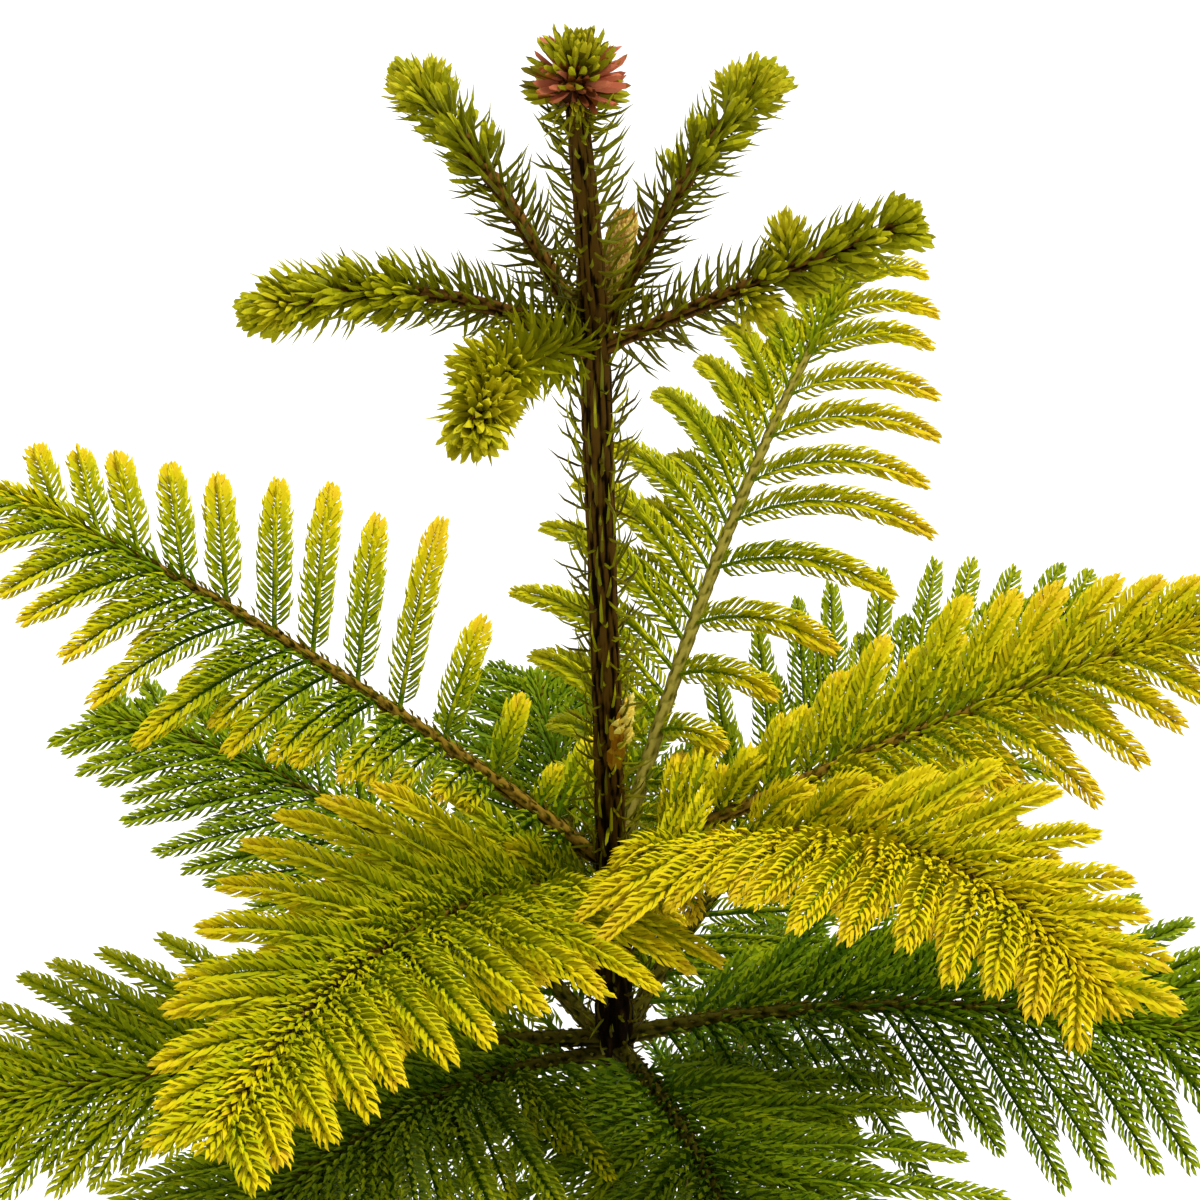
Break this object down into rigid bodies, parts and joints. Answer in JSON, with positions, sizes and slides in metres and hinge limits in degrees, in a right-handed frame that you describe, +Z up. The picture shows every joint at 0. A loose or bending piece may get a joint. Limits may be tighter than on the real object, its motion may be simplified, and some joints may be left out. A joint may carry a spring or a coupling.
{
  "type": "young norfolk island pine",
  "caption": "Young conifer with one straight tapering trunk and tiers of arched boughs, each carrying a flat comb of needle-clad twigs, rooted in the ground.",
  "frame": {"origin": "middle of the flat cut under the trunk, at ground level", "axes": "+Z up along the trunk, -Y towards the viewer, +X to the viewer's right"},
  "size_m": [0.8125, 0.7889, 1.3208],
  "materials": {
    "trunk_bark": "dark brown bark with upright ridged leaf bases",
    "bough_bark": "olive-brown young bark, finely ridged",
    "top_needles": "olive awl-shaped needles, yellow-green at the shoot tips",
    "upper_needles": "green to golden yellow awl-shaped needles, slightly waxy",
    "middle_needles": "deep green awl-shaped needles with yellow-green tips, slightly waxy",
    "lower_needles": "dark green awl-shaped needles, slightly waxy",
    "bud_scales": "yellow-green upright needles over salmon-red bud scales",
    "side_bud_scales": "dry tan overlapping scales, matt"
  },
  "bodies": {
    "root": {"trunk": "trunk_bark", "top_bough_1": "bough_bark", "top_mass_1": "top_needles", "top_bough_2": "bough_bark", "top_mass_2": "top_needles", "top_bough_3": "bough_bark", "top_mass_3": "top_needles", "top_bough_4": "bough_bark", "top_mass_4": "top_needles", "top_bough_5": "bough_bark", "top_mass_5": "top_needles", "upper_bough_1": "bough_bark", "upper_mass_1": "upper_needles", "upper_bough_2": "bough_bark", "upper_mass_2": "upper_needles", "upper_bough_3": "bough_bark", "upper_mass_3": "upper_needles", "upper_bough_4": "bough_bark", "upper_mass_4": "upper_needles", "upper_bough_5": "bough_bark", "upper_mass_5": "upper_needles", "middle_bough_1": "bough_bark", "middle_mass_1": "middle_needles", "middle_bough_2": "bough_bark", "middle_mass_2": "middle_needles", "middle_bough_3": "bough_bark", "middle_mass_3": "middle_needles", "middle_bough_4": "bough_bark", "middle_mass_4": "middle_needles", "middle_bough_5": "bough_bark", "middle_mass_5": "middle_needles", "middle_bough_6": "bough_bark", "middle_mass_6": "middle_needles", "middle_bough_7": "bough_bark", "middle_mass_7": "middle_needles", "lower_bough_1": "bough_bark", "lower_mass_1": "lower_needles", "lower_bough_2": "bough_bark", "lower_mass_2": "lower_needles", "lower_bough_3": "bough_bark", "lower_mass_3": "lower_needles", "lower_bough_4": "bough_bark", "lower_mass_4": "lower_needles", "lower_bough_5": "bough_bark", "lower_mass_5": "lower_needles", "terminal_bud": "bud_scales", "side_bud": "side_bud_scales"}
  },
  "joints": []
}
